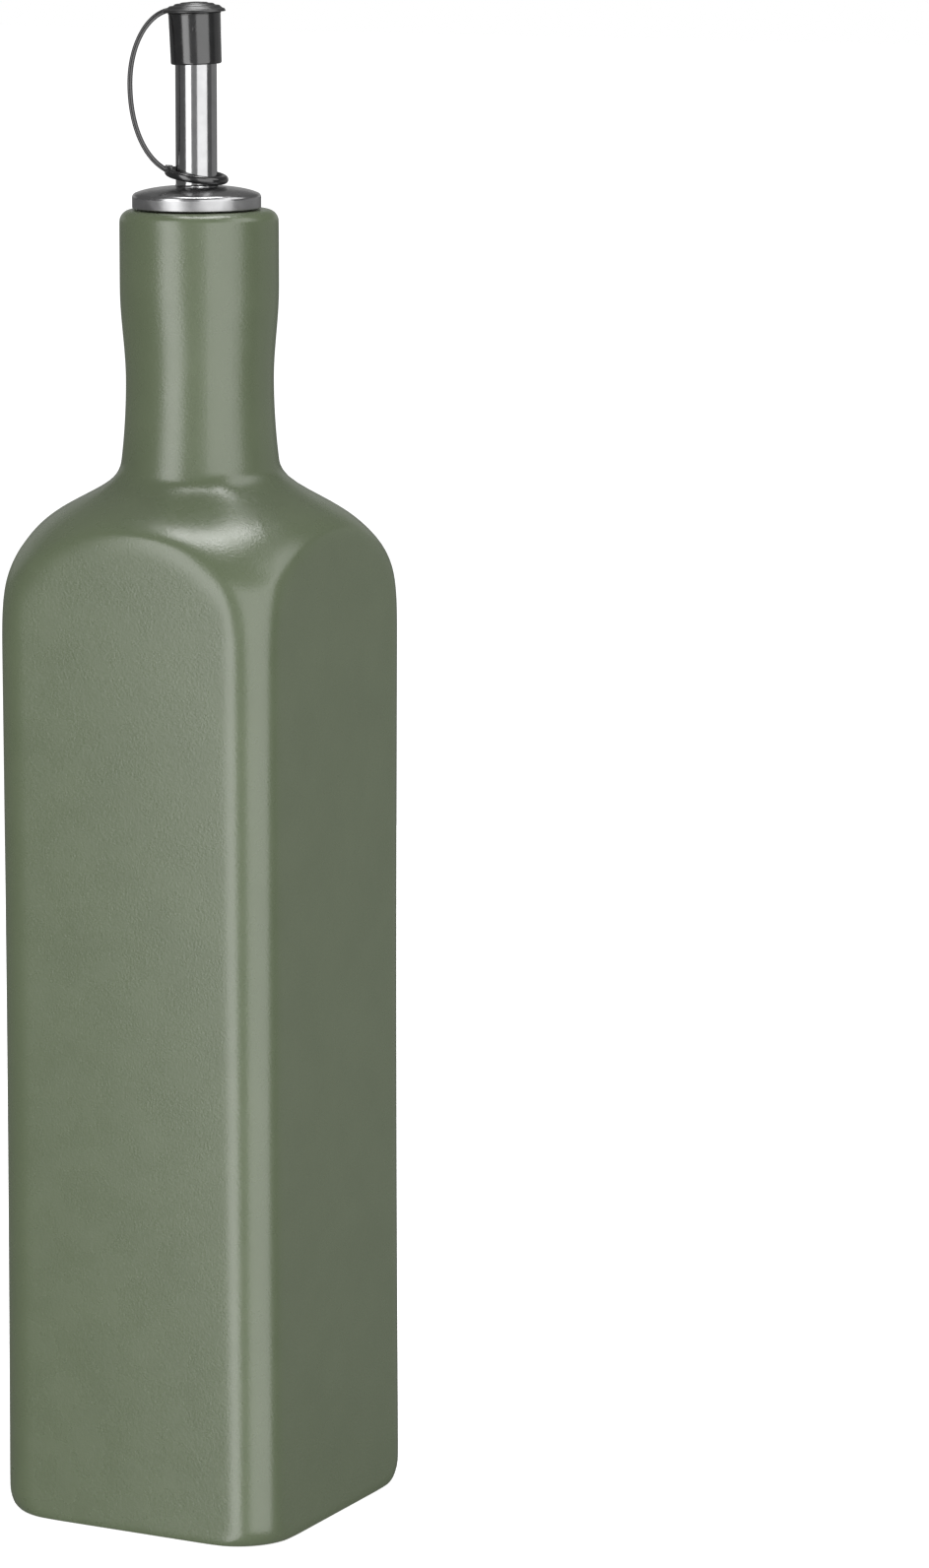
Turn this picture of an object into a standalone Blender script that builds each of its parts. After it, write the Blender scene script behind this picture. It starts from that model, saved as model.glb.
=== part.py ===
"""Square ceramic oil bottle with a stainless steel pour spout and a tethered stopper cap.

Metres, +Z up. The origin is the middle of the bottle's foot, and the flat faces look along X and Y.
The bottle is one solid, because nothing shows of its inside. The pourer sits on the neck's mouth, turned so
that the strap of its cap hangs out towards TETHER_HEADING.
"""

import math

import bmesh
import bpy
from mathutils import Matrix, Vector

MM = 0.001

# Bottle: a square block with rounded corners, cut by a turned profile that gives the shoulder and the neck.
BODY_WIDTH = 60.5 * MM
CORNER_RADIUS = 7.8 * MM
FACE_DISH = 0.2 * MM
FOOT_CORNER_GROWTH = 4 * MM
FOOT_CORNER_HEIGHT = 5 * MM
FOOT_EDGE_INSET = 0.6 * MM
FOOT_EDGE_HEIGHT = 1.8 * MM

SHOULDER_START = 171.2 * MM
SHOULDER_RADIUS = 41.3 * MM
SHOULDER_ARC = 29.6 * MM
SHOULDER_CONE_SLOPE = math.radians(27.7)
ARCH_BLEND = 2.7 * MM

NECK_ROOT_BLEND = 4.6 * MM
NECK_WAIST_RADIUS = 14.33 * MM
NECK_WAIST_HEIGHT = 221.7 * MM
NECK_FLARE = 0.53 * MM
NECK_FLARE_DROP = 11.7 * MM
NECK_GRIP_RADIUS = 15.4 * MM
NECK_GRIP_HEIGHT = 239.3 * MM
LIP_HEIGHT = 254.5 * MM
LIP_ROUNDING = 2.3 * MM

# Pourer: a domed steel collar on the mouth, and a steel tube that goes up into the cap.
FIT_GAP = 0.3 * MM
POURER_OFFSET = 0.45 * MM
TETHER_HEADING = math.radians(210)
COLLAR_RADIUS = 12.45 * MM
COLLAR_EDGE_ROUNDING = 0.25 * MM
COLLAR_BAND_HEIGHT = 2.75 * MM
COLLAR_DOME_RISE = 1.6 * MM
COLLAR_DOME_POWER = 0.5
TUBE_RADIUS = 4 * MM
TUBE_FOOT_FLARE = 0.4 * MM
TUBE_FOOT_HEIGHT = 0.5 * MM
TUBE_IN_CAP = 5 * MM

# Stopper cap, its strap and the ring round the tube's foot: one moulding.
CAP_BOTTOM = 282.5 * MM
CAP_RADIUS = 4.9 * MM
CAP_TAPER = 0.12 * MM
CAP_EDGE_ROUNDING = 0.4 * MM
CAP_SLEEVE_HEIGHT = 9.95 * MM
CAP_SOCKET_GAP = 0.4 * MM
CAP_BRIM_RADIUS = 6.0 * MM
CAP_BRIM_THICKNESS = 0.3 * MM
CAP_DOME_RISE = 1.75 * MM
CAP_DOME_POWER = 0.7
CAP_LEAN = math.radians(1.8)

STRAP_THICKNESS = 0.85 * MM
STRAP_WIDTH = 1.8 * MM
STRAP_CHAMFER = 0.2 * MM
STRAP_TOP = (4.6 * MM, 292.9 * MM)
STRAP_TOP_HANDLE = (9.0 * MM, 292.6 * MM)
STRAP_BOW_UPPER_HANDLE = (12.7 * MM, 286.5 * MM)
STRAP_BOW = (12.7 * MM, 278.7 * MM)
STRAP_BOW_LOWER_HANDLE = (12.7 * MM, 270.0 * MM)
STRAP_END_HANDLE = (9.6 * MM, 263.8 * MM)
STRAP_END = (5.3 * MM, 261.9 * MM)

RING_HEIGHT = 261.0 * MM
RING_RADIUS = 5.4 * MM
RING_THICKNESS = 1.5 * MM
RING_TILT = math.radians(8)
RING_NOD = math.radians(4)
TAB_WIDTH = 2.2 * MM
TAB_OUTLINE = (
    (4.5 * MM, 263.0 * MM),
    (4.5 * MM, 260.7 * MM),
    (5.1 * MM, 260.6 * MM),
    (5.75 * MM, 261.8 * MM),
    (6.1 * MM, 263.1 * MM),
)

# Mesh fineness: steps of angle on a quarter of the bottle, its rings' heights, and sides of the round parts.
FACE_HALF_ANGLE = math.radians(34.5)
FACE_STEPS = 9
CORNER_STEPS = 8
ARCH_BOTTOM = 187 * MM
CONE_TOP = 205 * MM
NECK_ROOT_TOP = 210 * MM
LIP_ANGLES = (0, 25, 50, 72, 90)
SHARP_ANGLE = math.radians(40)
ROUND_SIDES = 48
RING_SIDES = 36
RING_SECTION_SIDES = 10
STRAP_STEPS = 12
WELD_DISTANCE = 0.001 * MM


def clear_scene():
    for obj in list(bpy.data.objects):
        bpy.data.objects.remove(obj, do_unlink=True)


def make_material(name, color, roughness, metallic):
    material = bpy.data.materials.new(name)
    material.use_nodes = True
    shader = material.node_tree.nodes["Principled BSDF"]
    shader.inputs["Base Color"].default_value = (*color, 1)
    shader.inputs["Roughness"].default_value = roughness
    shader.inputs["Metallic"].default_value = metallic
    return material


def object_from(bm, name, material):
    """A new object from the bmesh, its faces turned outwards and its curved surfaces shaded smooth."""
    bmesh.ops.remove_doubles(bm, verts=bm.verts, dist=WELD_DISTANCE)
    bmesh.ops.recalc_face_normals(bm, faces=bm.faces)
    mesh = bpy.data.meshes.new(name)
    bm.to_mesh(mesh)
    bm.free()
    mesh.materials.append(material)
    mesh.shade_smooth()
    mesh.set_sharp_from_angle(angle=SHARP_ANGLE)
    obj = bpy.data.objects.new(name, mesh)
    bpy.context.scene.collection.objects.link(obj)
    return obj


def smooth_min(a, b, blend):
    """The smaller of two lengths, with a rounded changeover where they are within blend of each other."""
    closeness = max(blend - abs(a - b), 0) / blend
    return min(a, b) - closeness**2 * blend / 4


def smooth_step(value, start, end):
    t = min(max((value - start) / (end - start), 0), 1)
    return t * t * (3 - 2 * t)


def square_radius(angle, width, corner):
    """Distance from the middle to the edge of a square with rounded corners, in the direction of angle."""
    across, along = sorted((abs(math.cos(angle)), abs(math.sin(angle))))
    to_face = width / 2 / along
    corner_centre = width / 2 - corner
    if to_face * across <= corner_centre:
        return to_face
    reach = corner_centre * (across + along)
    return reach + math.sqrt(max(reach**2 - 2 * corner_centre**2 + corner**2, 0))


def shoulder_radius(height):
    """The turned shoulder: an arc in from the upright wall, then a cone up to the neck."""
    arc_centre = SHOULDER_RADIUS - SHOULDER_ARC
    arc_angle = math.pi / 2 - SHOULDER_CONE_SLOPE
    cone_start = SHOULDER_START + SHOULDER_ARC * math.sin(arc_angle)
    if height <= SHOULDER_START:
        return SHOULDER_RADIUS
    if height < cone_start:
        return arc_centre + math.sqrt(SHOULDER_ARC**2 - (height - SHOULDER_START) ** 2)
    cone_radius = arc_centre + SHOULDER_ARC * math.cos(arc_angle)
    return cone_radius - (height - cone_start) / math.tan(SHOULDER_CONE_SLOPE)


def neck_radius(height):
    """The neck: a grip band at the top, a waist under it, a slight flare down to its root, and the lip."""
    grip = smooth_step(height, NECK_WAIST_HEIGHT, NECK_GRIP_HEIGHT)
    radius = NECK_WAIST_RADIUS + (NECK_GRIP_RADIUS - NECK_WAIST_RADIUS) * grip
    drop = max(NECK_WAIST_HEIGHT - max(height, CONE_TOP), 0) / NECK_FLARE_DROP
    radius += NECK_FLARE * drop**2
    into_lip = max(height - (LIP_HEIGHT - LIP_ROUNDING), 0)
    return radius - LIP_ROUNDING + math.sqrt(max(LIP_ROUNDING**2 - into_lip**2, 0))


def turned_radius(height):
    return -smooth_min(-shoulder_radius(height), -neck_radius(height), NECK_ROOT_BLEND)


def body_square(height):
    """Width and corner radius of the square at this height, with the dished faces and the rounder foot."""
    dish = math.sin(math.pi * min(height / SHOULDER_START, 1))
    edge = max(1 - height / FOOT_EDGE_HEIGHT, 0)
    inset = FOOT_EDGE_INSET * (1 - math.sqrt(1 - edge**2))
    foot = max(1 - height / FOOT_CORNER_HEIGHT, 0) ** 2
    return BODY_WIDTH - 2 * (FACE_DISH * dish + inset), CORNER_RADIUS + FOOT_CORNER_GROWTH * foot


def bottle_angles():
    """Directions round one ring of the bottle, closer together at the four corners."""
    angles = []
    for quarter in range(4):
        middle = quarter * math.pi / 2
        face_step = 2 * FACE_HALF_ANGLE / FACE_STEPS
        corner_step = (math.pi / 2 - 2 * FACE_HALF_ANGLE) / CORNER_STEPS
        angles += [middle - FACE_HALF_ANGLE + face_step * i for i in range(FACE_STEPS)]
        angles += [middle + FACE_HALF_ANGLE + corner_step * i for i in range(CORNER_STEPS)]
    return angles


def even_heights(start, end, count):
    return [start + (end - start) * i / count for i in range(count)]


def bottle_heights():
    """Ring heights from the foot to the lip, closer together where the outline bends."""
    heights = even_heights(0, FOOT_EDGE_HEIGHT, 3)
    heights += even_heights(FOOT_EDGE_HEIGHT, FOOT_CORNER_HEIGHT, 2)
    heights += even_heights(FOOT_CORNER_HEIGHT, SHOULDER_START, 5)
    heights += even_heights(SHOULDER_START, ARCH_BOTTOM, 6)
    heights += even_heights(ARCH_BOTTOM, CONE_TOP, 14)
    heights += even_heights(CONE_TOP, NECK_ROOT_TOP, 2)
    heights += even_heights(NECK_ROOT_TOP, NECK_WAIST_HEIGHT, 2)
    heights += even_heights(NECK_WAIST_HEIGHT, NECK_GRIP_HEIGHT, 6)
    heights += [NECK_GRIP_HEIGHT]
    lip_start = LIP_HEIGHT - LIP_ROUNDING
    return heights + [lip_start + LIP_ROUNDING * math.sin(math.radians(a)) for a in LIP_ANGLES]


def add_loop(bm, points):
    verts = [bm.verts.new(point) for point in points]
    return [bm.edges.new((a, b)) for a, b in zip(verts, verts[1:] + verts[:1])]


def bridge(bm, loops):
    for lower, upper in zip(loops, loops[1:]):
        bmesh.ops.bridge_loops(bm, edges=lower + upper)


def close_loop(bm, loop):
    """Fills a loop with a fan of triangles round its middle."""
    face = bmesh.ops.contextual_create(bm, geom=loop)["faces"]
    bmesh.ops.poke(bm, faces=face)


def make_bottle(material):
    bm = bmesh.new()
    angles = bottle_angles()
    loops = []
    for height in bottle_heights():
        width, corner = body_square(height)
        ring = []
        for a in angles:
            r = smooth_min(square_radius(a, width, corner), turned_radius(height), ARCH_BLEND)
            ring.append((r * math.cos(a), r * math.sin(a), height))
        loops.append(add_loop(bm, ring))
    bridge(bm, loops)
    close_loop(bm, loops[0])
    close_loop(bm, loops[-1])
    return object_from(bm, "bottle", material)


def turn(bm, profile, sides):
    """Turns a profile of (radius, height) points, bottom to top, once round the Z axis."""
    verts = [bm.verts.new((radius, 0, height)) for radius, height in profile]
    edges = [bm.edges.new(pair) for pair in zip(verts, verts[1:])]
    bmesh.ops.spin(
        bm, geom=verts + edges, axis=(0, 0, 1), cent=(0, 0, 0), angle=math.tau, steps=sides, use_merge=True
    )


def rounded_corner(radius, height, rounding, start, steps=3):
    """Points of a quarter round about (radius, height), from the angle start, in degrees."""
    angles = [math.radians(start + 90 * i / steps) for i in range(steps + 1)]
    return [(radius + rounding * math.cos(a), height + rounding * math.sin(a)) for a in angles]


def dome_profile(radius, base, rise, power, steps=8):
    """Points up a dome, from just inside its rim to its middle."""
    radii = [radius * math.cos(math.pi / 2 * i / steps) for i in range(1, steps)] + [0]
    return [(r, base + rise * (1 - (r / radius) ** 2) ** power) for r in radii]


def pourer_place():
    """The pourer's own frame: its middle on the mouth, with +X towards the strap."""
    place = Matrix.Rotation(TETHER_HEADING, 4, "Z")
    place.translation = place.to_3x3() @ Vector((POURER_OFFSET, 0, 0))
    return place


def collar_bottom():
    return LIP_HEIGHT + FIT_GAP


def collar_dome_height(radius):
    rim = COLLAR_RADIUS - COLLAR_EDGE_ROUNDING
    base = collar_bottom() + COLLAR_BAND_HEIGHT
    return base + COLLAR_DOME_RISE * (1 - (radius / rim) ** 2) ** COLLAR_DOME_POWER


def make_collar(material):
    bm = bmesh.new()
    bottom = collar_bottom()
    inner = COLLAR_RADIUS - COLLAR_EDGE_ROUNDING
    profile = [(0, bottom)]
    profile += rounded_corner(inner, bottom + COLLAR_EDGE_ROUNDING, COLLAR_EDGE_ROUNDING, -90, 2)
    profile += [(COLLAR_RADIUS, bottom + COLLAR_BAND_HEIGHT), (inner, bottom + COLLAR_BAND_HEIGHT)]
    profile += dome_profile(inner, bottom + COLLAR_BAND_HEIGHT, COLLAR_DOME_RISE, COLLAR_DOME_POWER)
    turn(bm, profile, ROUND_SIDES)
    collar = object_from(bm, "pourer_collar", material)
    collar.matrix_world = pourer_place()
    return collar


def make_tube(material):
    bm = bmesh.new()
    foot = collar_dome_height(TUBE_RADIUS) + FIT_GAP
    top = CAP_BOTTOM + TUBE_IN_CAP
    profile = [
        (0, foot),
        (TUBE_RADIUS + TUBE_FOOT_FLARE, foot),
        (TUBE_RADIUS + TUBE_FOOT_FLARE / 4, foot + TUBE_FOOT_HEIGHT / 2),
        (TUBE_RADIUS, foot + TUBE_FOOT_HEIGHT),
        (TUBE_RADIUS, top),
        (0, top),
    ]
    turn(bm, profile, RING_SIDES)
    tube = object_from(bm, "pour_tube", material)
    tube.matrix_world = pourer_place()
    return tube


def make_cap(material):
    """The cap with its socket, leaning a little towards the strap."""
    bm = bmesh.new()
    socket = TUBE_RADIUS + CAP_SOCKET_GAP
    socket_top = CAP_BOTTOM + TUBE_IN_CAP + FIT_GAP
    brim = CAP_BOTTOM + CAP_SLEEVE_HEIGHT
    dome_base = brim + CAP_BRIM_THICKNESS
    profile = [(0, socket_top), (socket, socket_top), (socket, CAP_BOTTOM)]
    edge_radius, edge_height = CAP_RADIUS - CAP_EDGE_ROUNDING, CAP_BOTTOM + CAP_EDGE_ROUNDING
    profile += rounded_corner(edge_radius, edge_height, CAP_EDGE_ROUNDING, -90)
    profile += [(CAP_RADIUS + CAP_TAPER, brim), (CAP_BRIM_RADIUS, brim), (CAP_BRIM_RADIUS, dome_base)]
    profile += dome_profile(CAP_BRIM_RADIUS, dome_base, CAP_DOME_RISE, CAP_DOME_POWER)
    turn(bm, profile, RING_SIDES)
    cap = object_from(bm, "stopper_cap", material)
    lean = Matrix.Rotation(CAP_LEAN, 4, "Y")
    pivot = Matrix.Translation((0, 0, CAP_BOTTOM + TUBE_IN_CAP / 2))
    cap.matrix_world = pourer_place() @ pivot @ lean @ pivot.inverted()
    return cap


def bezier_point(start, start_handle, end_handle, end, t):
    weights = ((1 - t) ** 3, 3 * t * (1 - t) ** 2, 3 * t**2 * (1 - t), t**3)
    points = (start, start_handle, end_handle, end)
    return Vector([sum(w * p[i] for w, p in zip(weights, points)) for i in (0, 1)])


def strap_route():
    """The strap's middle line in its own plane, as (distance from the tube's middle, height)."""
    upper = (STRAP_TOP, STRAP_TOP_HANDLE, STRAP_BOW_UPPER_HANDLE, STRAP_BOW)
    lower = (STRAP_BOW, STRAP_BOW_LOWER_HANDLE, STRAP_END_HANDLE, STRAP_END)
    route = [bezier_point(*upper, i / STRAP_STEPS) for i in range(STRAP_STEPS)]
    return route + [bezier_point(*lower, i / STRAP_STEPS) for i in range(STRAP_STEPS + 1)]


def strap_section():
    """The strap's flat section with its corners cut off, as (outwards, across) from its middle."""
    thick, wide = STRAP_THICKNESS / 2, STRAP_WIDTH / 2
    cut = STRAP_CHAMFER
    corner = [(thick, wide - cut), (thick - cut, wide)]
    section = corner + [(-x, y) for x, y in reversed(corner)]
    return section + [(-x, -y) for x, y in section]


def make_strap(material):
    bm = bmesh.new()
    route = strap_route()
    loops = []
    for i, point in enumerate(route):
        along = (route[min(i + 1, len(route) - 1)] - route[max(i - 1, 0)]).normalized()
        out = Vector((-along.y, along.x))
        spots = [(point + out * x, y) for x, y in strap_section()]
        loops.append(add_loop(bm, [(spot.x, y, spot.y) for spot, y in spots]))
    bridge(bm, loops)
    close_loop(bm, loops[0])
    close_loop(bm, loops[-1])
    strap = object_from(bm, "strap_form", material)
    strap.matrix_world = pourer_place()
    return strap


def make_ring(material):
    """The ring round the tube's foot, lifted on the strap's side."""
    bpy.ops.mesh.primitive_torus_add(
        major_radius=RING_RADIUS,
        minor_radius=RING_THICKNESS / 2,
        major_segments=RING_SIDES,
        minor_segments=RING_SECTION_SIDES,
    )
    ring = bpy.context.object
    ring.name = "ring_form"
    ring.data.materials.append(material)
    tilt = Matrix.Rotation(-RING_TILT, 4, "Y") @ Matrix.Rotation(-RING_NOD, 4, "X")
    ring.matrix_world = pourer_place() @ Matrix.Translation((0, 0, RING_HEIGHT)) @ tilt
    return ring


def make_tab(material):
    """The thick end of the strap, where it runs into the ring."""
    bm = bmesh.new()
    sides = [add_loop(bm, [(r, y, z) for r, z in TAB_OUTLINE]) for y in (-TAB_WIDTH / 2, TAB_WIDTH / 2)]
    bridge(bm, sides)
    for loop in sides:
        close_loop(bm, loop)
    tab = object_from(bm, "tab_form", material)
    tab.matrix_world = pourer_place()
    return tab


def fuse(base, forms):
    """Joins the forms into the base with Boolean unions and leaves them as hidden guides."""
    for form in forms:
        union = base.modifiers.new(form.name, "BOOLEAN")
        union.operation = "UNION"
        union.object = form
        form.hide_render = True
        form.display_type = "WIRE"


def main():
    clear_scene()
    glaze = make_material("sage_glaze", (0.17, 0.205, 0.14), 0.38, 0)
    steel = make_material("stainless_steel", (0.62, 0.62, 0.63), 0.2, 1)
    black = make_material("black_moulding", (0.02, 0.02, 0.022), 0.35, 0)
    make_bottle(glaze)
    make_collar(steel)
    make_tube(steel)
    cap = make_cap(black)
    fuse(cap, [make_strap(black), make_ring(black), make_tab(black)])


main()
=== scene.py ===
"""Looks of the square ceramic oil bottle with a steel pour spout and a tethered black cap.

Metres, +Z up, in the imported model's frame. Each piece is modelled at its place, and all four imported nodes
are replaced by finer pieces of the same form. The studio is a pale table, two tall softboxes with a darker
gap between them, two softboxes overhead and dim panels behind.
"""

import math

import bpy
from mathutils import Matrix, Vector


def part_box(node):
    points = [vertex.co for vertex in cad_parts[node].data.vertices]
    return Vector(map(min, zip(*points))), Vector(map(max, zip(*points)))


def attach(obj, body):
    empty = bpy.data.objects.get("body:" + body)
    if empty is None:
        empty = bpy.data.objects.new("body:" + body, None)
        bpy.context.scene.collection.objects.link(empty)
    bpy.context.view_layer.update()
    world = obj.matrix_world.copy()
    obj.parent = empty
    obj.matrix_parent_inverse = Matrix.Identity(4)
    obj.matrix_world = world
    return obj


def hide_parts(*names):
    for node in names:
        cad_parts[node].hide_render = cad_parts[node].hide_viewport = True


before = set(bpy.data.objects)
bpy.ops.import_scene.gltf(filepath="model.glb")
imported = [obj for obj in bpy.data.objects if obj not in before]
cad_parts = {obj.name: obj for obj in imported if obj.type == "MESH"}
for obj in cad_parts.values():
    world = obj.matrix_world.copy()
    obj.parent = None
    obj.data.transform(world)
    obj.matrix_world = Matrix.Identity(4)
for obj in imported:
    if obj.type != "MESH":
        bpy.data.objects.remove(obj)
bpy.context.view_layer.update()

MM = 0.001

# Bottle: the block and the turned shoulder and neck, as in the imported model.
BOTTLE_LOW, BOTTLE_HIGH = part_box("bottle")
BODY_WIDTH = BOTTLE_HIGH.x - BOTTLE_LOW.x
LIP_HEIGHT = BOTTLE_HIGH.z
CORNER_RADIUS = 7.8 * MM
FACE_DISH = 0.2 * MM
FOOT_CORNER_GROWTH = 4 * MM
FOOT_CORNER_HEIGHT = 5 * MM
FOOT_EDGE_INSET = 0.6 * MM
FOOT_EDGE_HEIGHT = 1.8 * MM
FOOT_RIM_WIDTH = 4 * MM
FOOT_RECESS_DEPTH = 0.8 * MM
FOOT_RECESS_SLOPE = 0.9 * MM
FOOT_RECESS_SHRINKS = (0.97, 0.5, 0.4)

SHOULDER_START = 171.2 * MM
SHOULDER_RADIUS = 41.3 * MM
SHOULDER_ARC = 29.6 * MM
SHOULDER_CONE_SLOPE = math.radians(27.7)
ARCH_BLEND = 2.7 * MM
CONE_TOP = 205 * MM
NECK_ROOT_TOP = 210 * MM
NECK_ROOT_BLEND = 4.6 * MM
NECK_WAIST_RADIUS = 14.33 * MM
NECK_WAIST_HEIGHT = 221.7 * MM
NECK_FLARE = 0.53 * MM
NECK_FLARE_DROP = 11.7 * MM
NECK_GRIP_RADIUS = 15.4 * MM
NECK_GRIP_HEIGHT = 239.3 * MM
LIP_ROUNDING = 2.3 * MM

# Pourer: its middle stands a little off the bottle's axis, towards the strap.
COLLAR_LOW, COLLAR_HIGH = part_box("pourer_collar")
TUBE_LOW, TUBE_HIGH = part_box("pour_tube")
TETHER_HEADING = math.radians(210)
POURER_OFFSET = 0.45 * MM
COLLAR_RADIUS = 12.45 * MM
COLLAR_BOTTOM = COLLAR_LOW.z
COLLAR_BAND_HEIGHT = 2.75 * MM
COLLAR_FOOT_ROUNDING = 0.2 * MM
COLLAR_TOP_ROUNDING = 0.9 * MM
COLLAR_TOP_DROP = 0.75  # the rounding's middle under the band's top, in roundings
COLLAR_DOME_START = math.radians(66)
COLLAR_DOME_SWELL = 2.2 * MM
COLLAR_DOME_FLAT = 6 * MM
TUBE_RADIUS = 4 * MM
TUBE_FOOT_FLARE = 0.4 * MM
TUBE_FOOT_HEIGHT = 0.5 * MM
TUBE_FOOT_RIM = 0.05 * MM
TUBE_SEAT = 0.35 * MM

CAP_BOTTOM = 282.5 * MM
CAP_RADIUS = 4.9 * MM
CAP_TAPER = 0.12 * MM
CAP_EDGE_ROUNDING = 0.4 * MM
CAP_SLEEVE_HEIGHT = 9.95 * MM
CAP_SOCKET_RADIUS = 4.15 * MM
CAP_SOCKET_TOP = 287.8 * MM
CAP_BRIM_RADIUS = 6.0 * MM
CAP_BRIM_THICKNESS = 0.3 * MM
CAP_BRIM_UNDERSIDE = (
    (CAP_RADIUS + CAP_TAPER, 0.02 * MM),
    (CAP_BRIM_RADIUS - 0.06 * MM, 0.05 * MM),
    (CAP_BRIM_RADIUS, 0.14 * MM),
)
CAP_BEAD = 0.36 * MM
DOME_FINISH_START = 0.4  # of the brim's thickness
CAP_DOME_RISE = 1.72 * MM
CAP_DOME_POWER = 0.7
CAP_DOME_RIDGES = 5
CAP_RIDGE_DEPTH = 0.1 * MM
CAP_RIDGES_START = (0.25, 0.5)  # shares of the brim's radius over which the ridges rise and fade
CAP_RIDGES_END = (0.93, 1)
CAP_LEAN = math.radians(1.8)
CAP_PIVOT_HEIGHT = 285 * MM
DIMPLE_RADIUS = 0.42 * MM
DIMPLE_DEPTH = 0.12 * MM
DIMPLE_HEIGHT = 289.4 * MM
DIMPLE_HEADING = math.radians(26.5 - 90)
PIT_RADIUS = 0.14 * MM
PIT_DEPTH = 0.3 * MM
GATE_MARK_ROUNDING = 0.8
GATE_MARK_TAPER_SHARE = 0.7

STRAP_THICKNESS = 1.0 * MM
STRAP_WIDTH = 1.8 * MM
STRAP_SQUARENESS = 0.6
STRAP_TOP = (4.6 * MM, 292.9 * MM)
STRAP_TOP_HANDLE = (9.0 * MM, 292.6 * MM)
STRAP_BOW_UPPER_HANDLE = (12.7 * MM, 286.5 * MM)
STRAP_BOW = (12.7 * MM, 278.7 * MM)
STRAP_BOW_LOWER_HANDLE = (12.7 * MM, 270.0 * MM)
STRAP_END_HANDLE = (9.6 * MM, 263.8 * MM)
STRAP_END = (5.3 * MM, 261.9 * MM)
RING_HEIGHT = 261.0 * MM
RING_RADIUS = 5.4 * MM
RING_THICKNESS = 1.62 * MM
RING_TILT = math.radians(8)
RING_NOD = math.radians(4)
TAB_OUTLINE = (
    (4.5 * MM, 263.0 * MM),
    (4.5 * MM, 260.7 * MM),
    (5.1 * MM, 260.6 * MM),
    (5.75 * MM, 261.8 * MM),
    (6.1 * MM, 263.1 * MM),
)
TAB_WIDTH = 2.2 * MM
TAB_EDGE_ROUNDING = 0.25 * MM

# Finishes. A scale is the fineness of a noise, and a pair is its lowest and highest value.
CLOUD_CONTRAST = (0.3, 0.7)
GLAZE_DARK = (0.104, 0.131, 0.074, 1)
GLAZE_COLOR = (0.113, 0.141, 0.081, 1)
GLAZE_CLOUD_SCALE = 90.0
GLAZE_ROUGHNESS = (0.25, 0.3)
GLAZE_POLISH_SCALE = 160.0
GLAZE_IOR = 1.75
GLAZE_GRAIN_SCALE = 2200.0
GLAZE_GRAIN_HEIGHT = 0.065 * MM
STEEL_DARK = (0.42, 0.42, 0.425, 1)
STEEL_LIGHT = (0.48, 0.48, 0.485, 1)
STEEL_TONE_SCALE = 300.0
STEEL_POLISH_SCALE = 500.0
STEEL_DULLEST = 1.4  # times the roughness
POLISHED_ROUGHNESS = 0.13
SATIN_ROUGHNESS = 0.2
BRUSHED_ROUGHNESS = 0.32
BRUSH_LINES = (60, 60, 9000)
BRUSH_LINE_DEPTH = 0.01 * MM
BLACK_DARK = (0.007, 0.007, 0.0075, 1)
BLACK_LIGHT = (0.013, 0.013, 0.0135, 1)
BLACK_TONE_SCALE = 400.0
BLACK_POLISH_SCALE = 700.0
BLACK_ROUGHNESS_SPREAD = 0.06
BLACK_IOR = 1.85
SLEEVE_ROUGHNESS = 0.15
DOME_ROUGHNESS = 0.36
BUMP_STRENGTH = 0.5

# Camera at the photograph's viewing angle, and the studio round the bottle.
CAMERA_AZIMUTH = math.radians(29.92)
CAMERA_DISTANCE = 1119.8 * MM
CAMERA_HEIGHT = 335.8 * MM
CAMERA_YAW = math.radians(2.62)
CAMERA_PITCH = math.radians(6.73)
CAMERA_LENS = 133.38
CAMERA_SHIFT = -0.2
TABLE_SIZE = 12
TABLE_DROP = 0.02 * MM
TABLE_COLOR = (0.85, 0.85, 0.85, 1)
TABLE_ROUGHNESS = 0.9
TABLE_GLOW = (0.8, 1.05)  # beside the bottle, and far from it
TABLE_GLOW_REACH = (0.1, 1.2)
ROOM_LIGHT = 0.15

# Lights beside the bottle: the headings that each reaches from and to in degrees, its distance, the heights
# of its lower and upper edge, its radiance, and its lean in degrees.
SIDE_LIGHTS = {
    "left_softbox": (-26, 4.5, 0.4, -0.4, 0.7, 2.75, 10),
    "front_panel": (4.5, 35.5, 0.5, -0.4, 0.6, 0.2, 0),
    "right_softbox": (35.5, 93, 0.55, -0.4, 0.7, 1.72, 0),
    "right_rear_panel": (125, 175, 0.7, -0.2, 0.4, 0.17, 0),
    "rear_panel": (175, 250, 0.9, 0.25, 0.5, 0.25, 0),
    "back_fill": (175, 275, 0.7, -0.2, 0.7, 0.9, 0),
}
UNREFLECTED_LIGHT = "back_fill"
# Lights over the bottle: heading and elevation in degrees, distance from the shoulder, width, and radiance.
TOP_LIGHTS = {
    "rear_top_softbox": (196, 81, 0.5, 0.24, 7),
    "side_top_softbox": (110, 45, 0.7, 0.4, 1.7),
}
TOP_LIGHT_TARGET = 0.8  # of the lip's height

# Mesh fineness.
FACE_HALF_ANGLE = math.radians(34.5)
FACE_STEPS = 14
CORNER_STEPS = 14
TURN_SIDES = 128
STRAP_SIDES = 24
STRAP_STEPS = 28
CAP_WALL_STEPS = 24
CAP_DOME_STEPS = 48
COLLAR_ROUNDING_STEPS = 12
COLLAR_DOME_STEPS = 30
MERGE_DISTANCE = 0.002 * MM
LEVEL_TOLERANCE = 0.1 * MM


def deselect():
    if bpy.context.object and bpy.context.object.mode == "EDIT":
        bpy.ops.object.mode_set(mode="OBJECT")
    bpy.ops.object.select_all(action="DESELECT")


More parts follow.
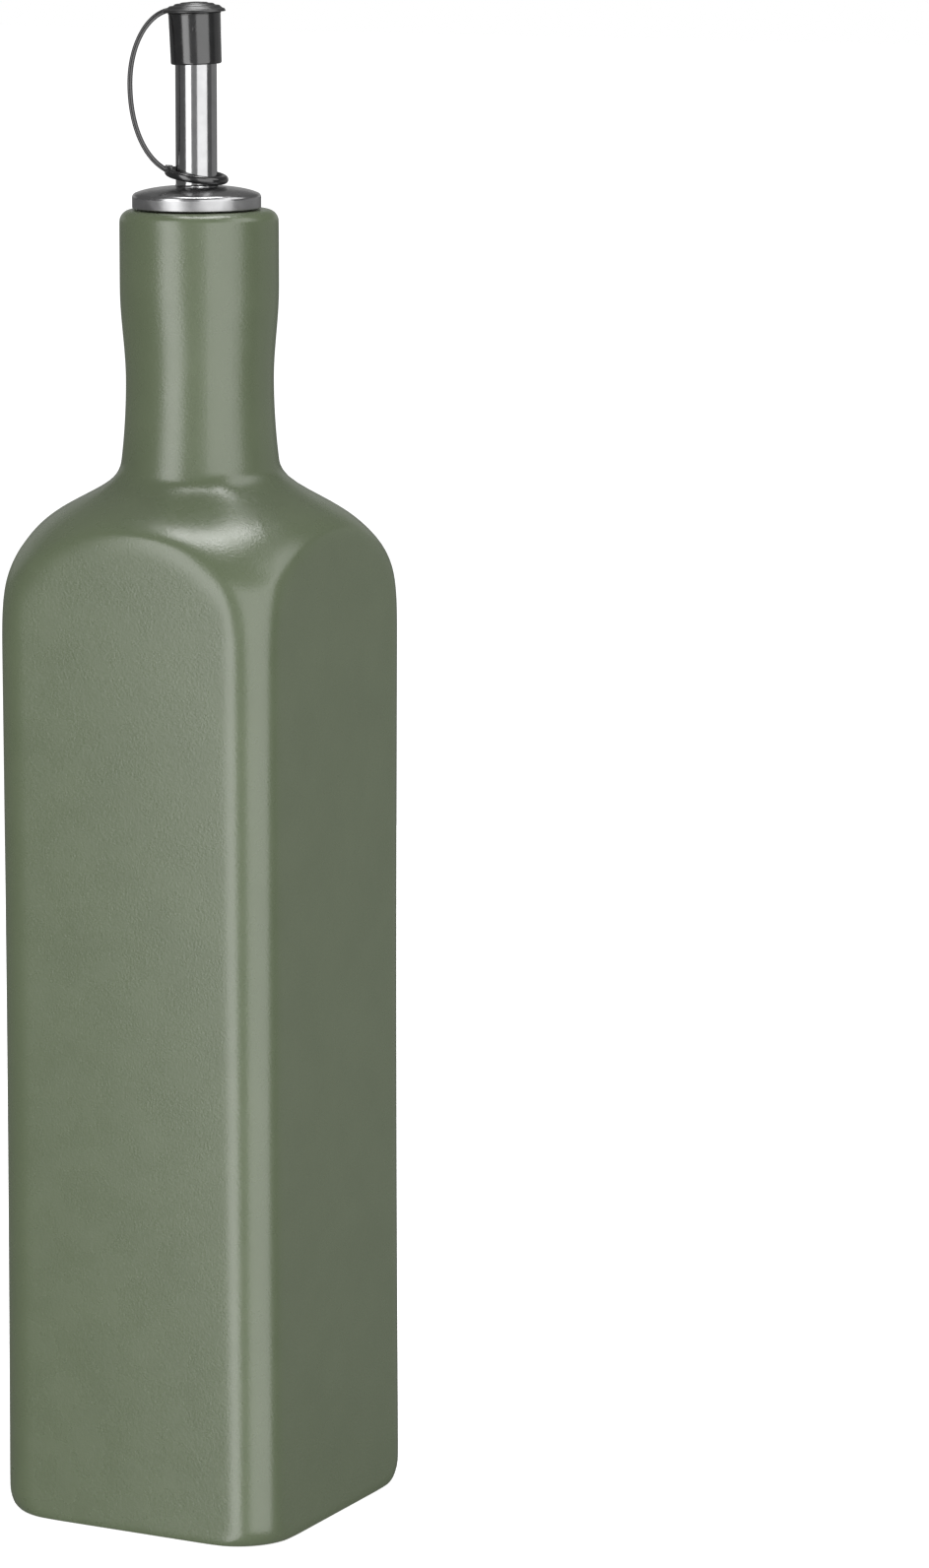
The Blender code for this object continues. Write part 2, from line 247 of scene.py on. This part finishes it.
def pick(piece):
    deselect()
    piece.select_set(True)
    bpy.context.view_layer.objects.active = piece


def apply_modifiers(piece):
    pick(piece)
    for modifier in list(piece.modifiers):
        bpy.ops.object.modifier_apply(modifier=modifier.name)


def edit(piece, select="VERT"):
    """Opens the piece in edit mode with all of it selected."""
    pick(piece)
    bpy.ops.object.mode_set(mode="EDIT")
    bpy.ops.mesh.select_mode(type=select)
    bpy.ops.mesh.select_all(action="SELECT")


def close_up(piece):
    """Merges doubles and turns all faces outwards."""
    edit(piece)
    bpy.ops.mesh.remove_doubles(threshold=MERGE_DISTANCE)
    bpy.ops.mesh.normals_make_consistent(inside=False)
    bpy.ops.object.mode_set(mode="OBJECT")


def shade(piece, angle=40):
    pick(piece)
    bpy.ops.object.shade_smooth_by_angle(angle=math.radians(angle))


def subdivide(piece, levels=1):
    smooth = piece.modifiers.new("fine", "SUBSURF")
    smooth.levels = smooth.render_levels = levels
    apply_modifiers(piece)


def place(piece, matrix):
    """Moves the finished mesh to its place and leaves the object at the origin."""
    piece.data.transform(matrix)
    piece.data.update()


def pourer_place():
    turned = Matrix.Rotation(TETHER_HEADING, 4, "Z")
    turned.translation = turned.to_3x3() @ Vector((POURER_OFFSET, 0, 0))
    return turned


def cap_place():
    pivot = Matrix.Translation((0, 0, CAP_PIVOT_HEIGHT))
    return pourer_place() @ pivot @ Matrix.Rotation(CAP_LEAN, 4, "Y") @ pivot.inverted()


def drawn_line(name, spots):
    """A line through the spots, drawn by extruding one point from each to the next."""
    deselect()
    bpy.ops.mesh.primitive_plane_add(size=MM, location=(0, 0, 0))
    piece = bpy.context.object
    piece.name = piece.data.name = name
    edit(piece)
    bpy.ops.mesh.merge(type="CENTER")
    bpy.ops.transform.translate(value=spots[0])
    for here, there in zip(spots, spots[1:]):
        bpy.ops.mesh.extrude_vertices_move(TRANSFORM_OT_translate={"value": there - here})
    bpy.ops.mesh.select_all(action="SELECT")
    return piece


def turned_piece(name, outline, sides=TURN_SIDES):
    """Spins an outline of (radius, height) points once round the Z axis."""
    piece = drawn_line(name, [Vector((radius, 0, height)) for radius, height in outline])
    bpy.ops.mesh.spin(steps=sides, angle=math.tau, center=(0, 0, 0), axis=(0, 0, 1))
    bpy.ops.object.mode_set(mode="OBJECT")
    close_up(piece)
    return piece


def raised_tube(name, sides, rings):
    """A tube of one metre's radius, raised from a circle by extrusion, with a ring at each whole metre."""
    deselect()
    bpy.ops.mesh.primitive_circle_add(vertices=sides, radius=1, location=(0, 0, 0))
    piece = bpy.context.object
    piece.name = piece.data.name = name
    edit(piece)
    for _ in range(rings - 1):
        bpy.ops.mesh.extrude_region_move(TRANSFORM_OT_translate={"value": (0, 0, 1)})
    bpy.ops.object.mode_set(mode="OBJECT")
    return piece


def fit_tube(piece, sides, point_at):
    """Moves every point of a raised tube to point_at(step round, ring)."""
    for vert in piece.data.vertices:
        turn = math.atan2(vert.co.y, vert.co.x) % math.tau
        step = round(turn / math.tau * sides) % sides
        vert.co = point_at(step, round(vert.co.z))
    piece.data.update()


def close_ends(piece, shrinks):
    """Closes a tube's open ends by extruding each inwards by the steps in shrinks, then to a point."""
    edit(piece, "EDGE")
    for _ in range(2):
        bpy.ops.mesh.select_all(action="DESELECT")
        bpy.ops.mesh.select_non_manifold()
        bpy.ops.object.mode_set(mode="OBJECT")
        chosen = [v for v in piece.data.vertices if v.select]
        if not chosen:
            bpy.ops.object.mode_set(mode="EDIT")
            break
        level = chosen[0].co.z
        for edge in piece.data.edges:
            start = piece.data.vertices[edge.vertices[0]]
            edge.select = edge.select and abs(start.co.z - level) < LEVEL_TOLERANCE
        for vert in piece.data.vertices:
            vert.select = vert.select and abs(vert.co.z - level) < LEVEL_TOLERANCE
        bpy.ops.object.mode_set(mode="EDIT")
        for shrink in shrinks:
            bpy.ops.mesh.extrude_edges_indiv()
            bpy.ops.transform.resize(value=(shrink, shrink, 1))
        bpy.ops.mesh.extrude_edges_indiv()
        bpy.ops.mesh.merge(type="CENTER")
    bpy.ops.object.mode_set(mode="OBJECT")


def smooth_min(a, b, blend):
    closeness = max(blend - abs(a - b), 0) / blend
    return min(a, b) - closeness**2 * blend / 4


def smooth_step(value, start, end):
    t = min(max((value - start) / (end - start), 0), 1)
    return t * t * (3 - 2 * t)


def square_radius(angle, width, corner):
    """Distance from the middle to the edge of a square with rounded corners, in the direction of angle."""
    across, along = sorted((abs(math.cos(angle)), abs(math.sin(angle))))
    to_face = width / 2 / along
    corner_centre = width / 2 - corner
    if to_face * across <= corner_centre:
        return to_face
    reach = corner_centre * (across + along)
    return reach + math.sqrt(max(reach**2 - 2 * corner_centre**2 + corner**2, 0))


def shoulder_radius(height):
    arc_centre = SHOULDER_RADIUS - SHOULDER_ARC
    arc_angle = math.pi / 2 - SHOULDER_CONE_SLOPE
    cone_start = SHOULDER_START + SHOULDER_ARC * math.sin(arc_angle)
    if height <= SHOULDER_START:
        return SHOULDER_RADIUS
    if height < cone_start:
        return arc_centre + math.sqrt(SHOULDER_ARC**2 - (height - SHOULDER_START) ** 2)
    cone_radius = arc_centre + SHOULDER_ARC * math.cos(arc_angle)
    return cone_radius - (height - cone_start) / math.tan(SHOULDER_CONE_SLOPE)


def neck_radius(height):
    grip = smooth_step(height, NECK_WAIST_HEIGHT, NECK_GRIP_HEIGHT)
    radius = NECK_WAIST_RADIUS + (NECK_GRIP_RADIUS - NECK_WAIST_RADIUS) * grip
    drop = max(NECK_WAIST_HEIGHT - max(height, CONE_TOP), 0) / NECK_FLARE_DROP
    radius += NECK_FLARE * drop**2
    into_lip = max(height - (LIP_HEIGHT - LIP_ROUNDING), 0)
    return radius - LIP_ROUNDING + math.sqrt(max(LIP_ROUNDING**2 - into_lip**2, 0))


def turned_radius(height):
    return -smooth_min(-shoulder_radius(height), -neck_radius(height), NECK_ROOT_BLEND)


def body_square(height):
    """Width and corner radius of the square at this height."""
    dish = math.sin(math.pi * min(height / SHOULDER_START, 1))
    edge = max(1 - height / FOOT_EDGE_HEIGHT, 0)
    inset = FOOT_EDGE_INSET * (1 - math.sqrt(1 - edge**2))
    foot = max(1 - height / FOOT_CORNER_HEIGHT, 0) ** 2
    return BODY_WIDTH - 2 * (FACE_DISH * dish + inset), CORNER_RADIUS + FOOT_CORNER_GROWTH * foot


def bottle_radius(angle, height):
    width, corner = body_square(height)
    return smooth_min(square_radius(angle, width, corner), turned_radius(height), ARCH_BLEND)


def bottle_angles():
    """Directions round the bottle, closer together at the corners, starting in the middle of a face."""
    half = FACE_STEPS // 2
    face_step = FACE_HALF_ANGLE / half
    corner_step = (math.pi / 2 - 2 * FACE_HALF_ANGLE) / CORNER_STEPS
    quarter = [face_step * i for i in range(half)]
    quarter += [FACE_HALF_ANGLE + corner_step * i for i in range(CORNER_STEPS)]
    quarter += [math.pi / 2 - FACE_HALF_ANGLE + face_step * i for i in range(half)]
    return [quarter_turn * math.pi / 2 + a for quarter_turn in range(4) for a in quarter]


def arch_height(angle):
    """Height at which the turned shoulder cuts the square's wall in this direction."""
    wall = square_radius(angle, BODY_WIDTH, CORNER_RADIUS)
    return SHOULDER_START + math.sqrt(SHOULDER_ARC**2 - (wall - SHOULDER_RADIUS + SHOULDER_ARC) ** 2)


def ring_heights(angle):
    """Heights of the bottle's rings in this direction, closest where the outline bends and at arches."""

    def run(start, end, count, ease=1.0):
        return [start + (end - start) * (i / count) ** ease for i in range(count)]

    arch = arch_height(angle)
    heights = run(0, FOOT_EDGE_HEIGHT, 4, 1.4)
    heights += run(FOOT_EDGE_HEIGHT, FOOT_CORNER_HEIGHT, 3)
    heights += run(FOOT_CORNER_HEIGHT, SHOULDER_START, 14)
    heights += [arch - (arch - SHOULDER_START) * (1 - i / 9) ** 1.5 for i in range(9)]
    heights += run(arch, CONE_TOP, 11, 1.35)
    heights += run(CONE_TOP, NECK_ROOT_TOP, 4)
    heights += run(NECK_ROOT_TOP, NECK_WAIST_HEIGHT, 5)
    heights += run(NECK_WAIST_HEIGHT, NECK_GRIP_HEIGHT, 9)
    heights += run(NECK_GRIP_HEIGHT, LIP_HEIGHT - LIP_ROUNDING, 4)
    rounding = [math.sin(math.pi / 2 * i / 7) for i in range(8)]
    return heights + [LIP_HEIGHT - LIP_ROUNDING + LIP_ROUNDING * rise for rise in rounding]


def make_bottle():
    """The ceramic body: a tube pulled onto the form, with a shallow recess under the foot."""
    angles = bottle_angles()
    heights = [ring_heights(a) for a in angles]
    sides, rings = len(angles), len(heights[0])
    bottle = raised_tube("ceramic_bottle", sides, rings)

    def point_at(step, ring):
        angle, height = angles[step], heights[step][ring]
        radius = bottle_radius(angle, height)
        return Vector((radius * math.cos(angle), radius * math.sin(angle), height))

    fit_tube(bottle, sides, point_at)
    rim = 1 - FOOT_RIM_WIDTH / (BODY_WIDTH / 2)
    close_ends(bottle, (rim, *FOOT_RECESS_SHRINKS))
    recess = BODY_WIDTH / 2 - FOOT_RIM_WIDTH - FOOT_RECESS_SLOPE
    for vert in bottle.data.vertices:
        if vert.co.z < MM / 100 and max(abs(vert.co.x), abs(vert.co.y)) < recess:
            vert.co.z = FOOT_RECESS_DEPTH
    subdivide(bottle)
    close_up(bottle)
    shade(bottle, 60)
    return bottle


def rounded_corner(radius, height, rounding, start, steps=5):
    angles = [math.radians(start + 90 * i / steps) for i in range(steps + 1)]
    return [(radius + rounding * math.cos(a), height + rounding * math.sin(a)) for a in angles]


def make_collar():
    foot, edge = COLLAR_FOOT_ROUNDING, COLLAR_TOP_ROUNDING
    corner = Vector((COLLAR_RADIUS - edge, COLLAR_BOTTOM + COLLAR_BAND_HEIGHT - edge * COLLAR_TOP_DROP))
    start = Vector((math.cos(COLLAR_DOME_START), math.sin(COLLAR_DOME_START)))
    rim = corner + start * edge
    swell = rim + Vector((-start.y, start.x)) * COLLAR_DOME_SWELL
    top = COLLAR_HIGH.z
    outline = [(0, COLLAR_BOTTOM)] + rounded_corner(COLLAR_RADIUS - foot, COLLAR_BOTTOM + foot, foot, -90)
    for i in range(COLLAR_ROUNDING_STEPS):
        turn = COLLAR_DOME_START * i / COLLAR_ROUNDING_STEPS
        outline.append((corner.x + edge * math.cos(turn), corner.y + edge * math.sin(turn)))
    for i in range(COLLAR_DOME_STEPS + 1):
        share = i / COLLAR_DOME_STEPS
        outline.append(tuple(bezier_point(rim, swell, (COLLAR_DOME_FLAT, top), (0, top), share)))
    collar = turned_piece("pourer_dome", outline)
    shade(collar, 30)
    place(collar, pourer_place())
    return collar


def make_tube():
    foot, top = TUBE_LOW.z - TUBE_SEAT, TUBE_HIGH.z
    flare = TUBE_RADIUS + TUBE_FOOT_FLARE
    outline = [(0, foot), (flare, foot)]
    for i in range(7):
        turn = math.pi / 2 * i / 6
        rise = TUBE_FOOT_HEIGHT * (1 - math.cos(turn)) + TUBE_FOOT_RIM
        outline.append((flare - TUBE_FOOT_FLARE * math.sin(turn), foot + rise))
    outline += [(TUBE_RADIUS, top), (0, top)]
    tube = turned_piece("spout_tube", outline)
    shade(tube, 30)
    place(tube, pourer_place())
    return tube


def cap_dome(radius):
    share = radius / CAP_BRIM_RADIUS
    ridge = math.cos(share * CAP_DOME_RIDGES * math.tau) * smooth_step(share, *CAP_RIDGES_START)
    ridge *= 1 - smooth_step(share, *CAP_RIDGES_END)
    base = CAP_BOTTOM + CAP_SLEEVE_HEIGHT + CAP_BRIM_THICKNESS
    return base + CAP_DOME_RISE * (1 - share**2) ** CAP_DOME_POWER + CAP_RIDGE_DEPTH * ridge


def make_cap():
    brim = CAP_BOTTOM + CAP_SLEEVE_HEIGHT
    edge_top = CAP_BOTTOM + CAP_EDGE_ROUNDING
    outline = [(0, CAP_SOCKET_TOP), (CAP_SOCKET_RADIUS, CAP_SOCKET_TOP), (CAP_SOCKET_RADIUS, CAP_BOTTOM)]
    edge = CAP_RADIUS - CAP_EDGE_ROUNDING
    outline += rounded_corner(edge, edge_top, CAP_EDGE_ROUNDING, -90)
    bead = brim - CAP_BEAD / 2
    wall = bead - CAP_BEAD / 2 - edge_top
    for i in range(1, CAP_WALL_STEPS + 1):
        outline.append((CAP_RADIUS + CAP_TAPER * i / CAP_WALL_STEPS, edge_top + wall * i / CAP_WALL_STEPS))
    outline += rounded_corner(CAP_RADIUS + CAP_TAPER - CAP_BEAD / 4, bead, CAP_BEAD / 2, -60, 6)
    outline += [(radius, brim + rise) for radius, rise in CAP_BRIM_UNDERSIDE]
    radii = [CAP_BRIM_RADIUS * (1 - i / CAP_DOME_STEPS) for i in range(1, CAP_DOME_STEPS + 1)]
    outline += [(radius, cap_dome(radius)) for radius in radii]
    cap = turned_piece("stopper_moulding", outline)
    place(cap, cap_place())
    gate_mark = [sunk_disc("dimple", DIMPLE_RADIUS, DIMPLE_DEPTH), sunk_disc("pit", PIT_RADIUS, PIT_DEPTH)]
    combine(cap, gate_mark, "DIFFERENCE")
    return cap


def sunk_disc(name, radius, depth):
    """A stub that reaches into the sleeve's front, to cut the moulding's gate mark."""
    deselect()
    bpy.ops.mesh.primitive_cylinder_add(vertices=28, radius=radius, depth=2 * depth)
    stub = bpy.context.object
    stub.name = stub.data.name = name
    bevel = stub.modifiers.new("round", "BEVEL")
    bevel.width = depth * GATE_MARK_ROUNDING
    bevel.segments = 3
    bevel.limit_method = "ANGLE"
    apply_modifiers(stub)
    turn = Matrix.Rotation(DIMPLE_HEADING, 4, "Z") @ Matrix.Rotation(math.pi / 2, 4, "Y")
    wall = pourer_place().translation
    reach = CAP_RADIUS + CAP_TAPER * GATE_MARK_TAPER_SHARE
    spot = Vector((math.cos(DIMPLE_HEADING), math.sin(DIMPLE_HEADING), 0)) * reach
    place(stub, Matrix.Translation(wall + spot + Vector((0, 0, DIMPLE_HEIGHT))) @ turn)
    return stub


def bezier_point(start, start_handle, end_handle, end, t):
    weights = ((1 - t) ** 3, 3 * t * (1 - t) ** 2, 3 * t**2 * (1 - t), t**3)
    points = (start, start_handle, end_handle, end)
    return Vector([sum(w * p[i] for w, p in zip(weights, points)) for i in (0, 1)])


def strap_route(steps):
    upper = (STRAP_TOP, STRAP_TOP_HANDLE, STRAP_BOW_UPPER_HANDLE, STRAP_BOW)
    lower = (STRAP_BOW, STRAP_BOW_LOWER_HANDLE, STRAP_END_HANDLE, STRAP_END)
    route = [bezier_point(*upper, i / steps) for i in range(steps)]
    return route + [bezier_point(*lower, i / steps) for i in range(steps + 1)]


def make_strap():
    """The flat strap, rounded on its edges, from the cap's brim to the ring."""
    route = strap_route(STRAP_STEPS)
    strap = raised_tube("strap", STRAP_SIDES, len(route))

    def point_at(step, ring):
        before, after = route[max(ring - 1, 0)], route[min(ring + 1, len(route) - 1)]
        along = (after - before).normalized()
        out = Vector((-along.y, along.x))
        turn = math.tau * step / STRAP_SIDES
        x = math.copysign(abs(math.cos(turn)) ** STRAP_SQUARENESS, math.cos(turn)) * STRAP_THICKNESS / 2
        y = math.copysign(abs(math.sin(turn)) ** STRAP_SQUARENESS, math.sin(turn)) * STRAP_WIDTH / 2
        spot = route[ring] + out * x
        return Vector((spot.x, y, spot.y))

    fit_tube(strap, STRAP_SIDES, point_at)
    edit(strap)
    bpy.ops.mesh.fill_holes(sides=STRAP_SIDES)
    bpy.ops.object.mode_set(mode="OBJECT")
    close_up(strap)
    place(strap, pourer_place())
    return strap


def make_ring():
    deselect()
    bpy.ops.mesh.primitive_torus_add(
        major_radius=RING_RADIUS, minor_radius=RING_THICKNESS / 2, major_segments=96, minor_segments=24
    )
    ring = bpy.context.object
    ring.name = ring.data.name = "ring"
    tilt = Matrix.Rotation(-RING_TILT, 4, "Y") @ Matrix.Rotation(-RING_NOD, 4, "X")
    place(ring, pourer_place() @ Matrix.Translation((0, 0, RING_HEIGHT)) @ tilt)
    return ring


def make_tab():
    tab = drawn_line("tab", [Vector((r, -TAB_WIDTH / 2, z)) for r, z in TAB_OUTLINE])
    bpy.ops.mesh.edge_face_add()
    bpy.ops.mesh.extrude_region_move(TRANSFORM_OT_translate={"value": (0, TAB_WIDTH, 0)})
    bpy.ops.object.mode_set(mode="OBJECT")
    close_up(tab)
    bevel = tab.modifiers.new("edges", "BEVEL")
    bevel.width = TAB_EDGE_ROUNDING
    bevel.segments = 3
    bevel.limit_method = "NONE"
    apply_modifiers(tab)
    place(tab, pourer_place())
    return tab


def combine(base, forms, operation):
    for form in forms:
        step = base.modifiers.new(form.name, "BOOLEAN")
        step.operation = operation
        step.object = form
    apply_modifiers(base)
    for form in forms:
        bpy.data.objects.remove(form, do_unlink=True)


def new_material(name):
    material = bpy.data.materials.new(name)
    material.use_nodes = True
    tree = material.node_tree
    tree.nodes.clear()
    output = tree.nodes.new("ShaderNodeOutputMaterial")
    shader = tree.nodes.new("ShaderNodeBsdfPrincipled")
    tree.links.new(shader.outputs["BSDF"], output.inputs["Surface"])
    return material, tree, shader


def add_node(tree, kind, values=None, **settings):
    """A new node with its settings, and its input sockets set or linked from values."""
    made = tree.nodes.new(kind)
    for name, value in settings.items():
        setattr(made, name, value)
    for name, value in (values or {}).items():
        if isinstance(value, bpy.types.NodeSocket):
            tree.links.new(value, made.inputs[name])
        else:
            made.inputs[name].default_value = value
    return made


def object_place(tree, scale=(1, 1, 1)):
    place_here = add_node(tree, "ShaderNodeTexCoord").outputs["Object"]
    return add_node(tree, "ShaderNodeMapping", {"Vector": place_here, "Scale": scale}).outputs["Vector"]


def map_range(tree, value, start, end):
    """Maps a value from one pair of limits to another."""
    limits = {"From Min": start[0], "From Max": start[1], "To Min": end[0], "To Max": end[1]}
    return add_node(tree, "ShaderNodeMapRange", {"Value": value, **limits}).outputs["Result"]


def uneven_group():
    """Soft clouds between two values: unevenness of tone or of polish."""
    tree = bpy.data.node_groups.new("uneven", "ShaderNodeTree")
    for name, kind, value in (
        ("Place", "NodeSocketVector", None),
        ("Scale", "NodeSocketFloat", 60.0),
        ("Low", "NodeSocketFloat", 0.0),
        ("High", "NodeSocketFloat", 1.0),
    ):
        socket = tree.interface.new_socket(name=name, in_out="INPUT", socket_type=kind)
        if value is not None:
            socket.default_value = value
    tree.interface.new_socket(name="Value", in_out="OUTPUT", socket_type="NodeSocketFloat")
    inside = add_node(tree, "NodeGroupInput").outputs
    cloud = {"Vector": inside["Place"], "Scale": inside["Scale"], "Detail": 4.0, "Roughness": 0.55}
    noise = add_node(tree, "ShaderNodeTexNoise", cloud).outputs["Fac"]
    spread = map_range(tree, noise, CLOUD_CONTRAST, (inside["Low"], inside["High"]))
    tree.links.new(spread, add_node(tree, "NodeGroupOutput").inputs["Value"])
    return tree


UNEVEN = uneven_group()


def uneven(tree, where, scale, low, high):
    made = add_node(tree, "ShaderNodeGroup", node_tree=UNEVEN)
    tree.links.new(where, made.inputs["Place"])
    made.inputs["Scale"].default_value = scale
    made.inputs["Low"].default_value = low
    made.inputs["High"].default_value = high
    return made.outputs["Value"]


def cloud_tone(tree, shader, where, scale, dark, light):
    """Lets the base colour drift between two tones."""
    mixed = {"Factor": uneven(tree, where, scale, 0.0, 1.0), "A": dark, "B": light}
    tone = add_node(tree, "ShaderNodeMix", mixed, data_type="RGBA")
    tree.links.new(tone.outputs["Result"], shader.inputs["Base Color"])


def add_bump(tree, shader, height, depth):
    values = {"Height": height.outputs["Fac"], "Strength": BUMP_STRENGTH, "Distance": depth}
    tree.links.new(add_node(tree, "ShaderNodeBump", values).outputs["Normal"], shader.inputs["Normal"])


def glaze_material():
    material, tree, shader = new_material("sage_glaze")
    where = object_place(tree)
    cloud_tone(tree, shader, where, GLAZE_CLOUD_SCALE, GLAZE_DARK, GLAZE_COLOR)
    tree.links.new(uneven(tree, where, GLAZE_POLISH_SCALE, *GLAZE_ROUGHNESS), shader.inputs["Roughness"])
    shader.inputs["IOR"].default_value = GLAZE_IOR
    speckle = {"Vector": where, "Scale": GLAZE_GRAIN_SCALE, "Detail": 2.0}
    add_bump(tree, shader, add_node(tree, "ShaderNodeTexNoise", speckle), GLAZE_GRAIN_HEIGHT)
    return material


def steel_material(name, roughness, lines):
    material, tree, shader = new_material(name)
    shader.inputs["Metallic"].default_value = 1
    where = object_place(tree)
    cloud_tone(tree, shader, where, STEEL_TONE_SCALE, STEEL_DARK, STEEL_LIGHT)
    polish = uneven(tree, where, STEEL_POLISH_SCALE, roughness, roughness * STEEL_DULLEST)
    tree.links.new(polish, shader.inputs["Roughness"])
    if lines:
        drawn = object_place(tree, BRUSH_LINES)
        streaks = add_node(tree, "ShaderNodeTexNoise", {"Vector": drawn, "Scale": 1.0, "Detail": 3.0})
        add_bump(tree, shader, streaks, BRUSH_LINE_DEPTH)
    return material


def black_material(name, roughness):
    material, tree, shader = new_material(name)
    where = object_place(tree)
    cloud_tone(tree, shader, where, BLACK_TONE_SCALE, BLACK_DARK, BLACK_LIGHT)
    polish = uneven(tree, where, BLACK_POLISH_SCALE, roughness, roughness + BLACK_ROUGHNESS_SPREAD)
    tree.links.new(polish, shader.inputs["Roughness"])
    shader.inputs["IOR"].default_value = BLACK_IOR
    return material


def split_finish(piece, is_second):
    """Gives the piece's second material to the faces for which is_second(height) holds."""
    for face in piece.data.polygons:
        face.material_index = int(is_second(face.center.z))


def finish_piece(piece, slot, node, *materials):
    piece.data.materials.clear()
    for material in materials:
        piece.data.materials.append(material)
    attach(piece, "root")
    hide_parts(node)


def make_object():
    polished = steel_material("polished_steel", POLISHED_ROUGHNESS, False)
    brushed = steel_material("brushed_steel", BRUSHED_ROUGHNESS, True)
    satin = steel_material("satin_steel", SATIN_ROUGHNESS, False)
    finish_piece(make_bottle(), "glaze", "bottle", glaze_material())
    collar = make_collar()
    finish_piece(collar, "stainless_steel", "pourer_collar", satin, brushed)
    band_top = COLLAR_BOTTOM + COLLAR_BAND_HEIGHT - COLLAR_TOP_ROUNDING * COLLAR_TOP_DROP
    split_finish(collar, lambda height: height < band_top)
    finish_piece(make_tube(), "stainless_steel", "pour_tube", polished)
    cap = make_cap()
    combine(cap, [make_strap(), make_ring(), make_tab()], "UNION")
    close_up(cap)
    shade(cap, 35)
    smooth = black_material("black_moulding", SLEEVE_ROUGHNESS)
    ridged = black_material("ridged_black_moulding", DOME_ROUGHNESS)
    finish_piece(cap, "black_moulding", "stopper_cap", smooth, ridged)
    dome_start = CAP_BOTTOM + CAP_SLEEVE_HEIGHT + CAP_BRIM_THICKNESS * DOME_FINISH_START
    split_finish(cap, lambda height: height > dome_start)


def direction(azimuth, elevation=0.0):
    return Vector(
        (
            math.sin(azimuth) * math.cos(elevation),
            -math.cos(azimuth) * math.cos(elevation),
            math.sin(elevation),
        )
    )


def make_camera():
    data = bpy.data.cameras.new("camera")
    data.lens = CAMERA_LENS
    data.sensor_width = 36
    data.shift_y = CAMERA_SHIFT
    data.clip_start = 0.01
    camera = bpy.data.objects.new("camera", data)
    bpy.context.scene.collection.objects.link(camera)
    camera.location = direction(CAMERA_AZIMUTH) * CAMERA_DISTANCE + Vector((0, 0, CAMERA_HEIGHT))
    camera.rotation_euler = (math.pi / 2 - CAMERA_PITCH, 0, CAMERA_AZIMUTH - CAMERA_YAW)
    bpy.context.scene.camera = camera


def make_softbox(name, target, out, distance, width, height, radiance):
    """A soft rectangular light that the camera doesn't see."""
    data = bpy.data.lights.new(name, "AREA")
    data.shape = "RECTANGLE"
    data.size = width
    data.size_y = height
    data.energy = math.pi * width * height * radiance
    lamp = bpy.data.objects.new(name, data)
    lamp.visible_camera = False
    bpy.context.scene.collection.objects.link(lamp)
    lamp.location = target + out * distance
    lamp.rotation_euler = (-out).to_track_quat("-Z", "Y").to_euler()
    return lamp


def make_side_light(name, start, end, distance, low, high, radiance, lean):
    """A softbox that fills the headings from start to end, seen from the bottle, and leans by an angle."""
    middle, half = math.radians((start + end) / 2), math.radians((end - start) / 2)
    width = 2 * distance * math.tan(half)
    target = Vector((0, 0, (low + high) / 2))
    lamp = make_softbox(name, target, direction(middle), distance, width, high - low, radiance)
    lamp.rotation_euler.rotate_axis("Z", math.radians(lean))
    return lamp


def make_top_light(name, heading, elevation, distance, width, radiance):
    target = Vector((0, 0, LIP_HEIGHT * TOP_LIGHT_TARGET))
    out = direction(math.radians(heading), math.radians(elevation))
    make_softbox(name, target, out, distance, width, width, radiance)


def make_floor():
    """The table: bright, and seen by the camera alone."""
    deselect()
    bpy.ops.mesh.primitive_plane_add(size=TABLE_SIZE, location=(0, 0, -TABLE_DROP))
    floor = bpy.context.object
    floor.name = floor.data.name = "table"
    material, tree, shader = new_material("pale_table")
    shader.inputs["Base Color"].default_value = TABLE_COLOR
    shader.inputs["Roughness"].default_value = TABLE_ROUGHNESS
    shader.inputs["Emission Color"].default_value = (1, 1, 1, 1)
    away = add_node(tree, "ShaderNodeVectorMath", {0: object_place(tree)}, operation="LENGTH")
    glow = map_range(tree, away.outputs["Value"], TABLE_GLOW_REACH, TABLE_GLOW)
    tree.links.new(glow, shader.inputs["Emission Strength"])
    floor.data.materials.append(material)
    floor.visible_glossy = floor.visible_diffuse = floor.visible_shadow = floor.visible_transmission = False


def make_world():
    """Plain white behind the bottle, and a dim room for its reflections."""
    world = bpy.data.worlds.new("studio")
    world.use_nodes = True
    bpy.context.scene.world = world
    tree = world.node_tree
    backdrop = tree.nodes["Background"]
    backdrop.inputs["Color"].default_value = (1, 1, 1, 1)
    seen = add_node(tree, "ShaderNodeLightPath").outputs["Is Camera Ray"]
    tree.links.new(map_range(tree, seen, (0.0, 1.0), (ROOM_LIGHT, 1.0)), backdrop.inputs["Strength"])


def make_studio():
    make_camera()
    for name, place_and_light in SIDE_LIGHTS.items():
        lamp = make_side_light(name, *place_and_light)
        lamp.visible_glossy = name != UNREFLECTED_LIGHT
    for name, place_and_light in TOP_LIGHTS.items():
        make_top_light(name, *place_and_light)
    make_floor()
    make_world()
    bpy.context.scene.view_settings.view_transform = "Standard"


make_object()
make_studio()
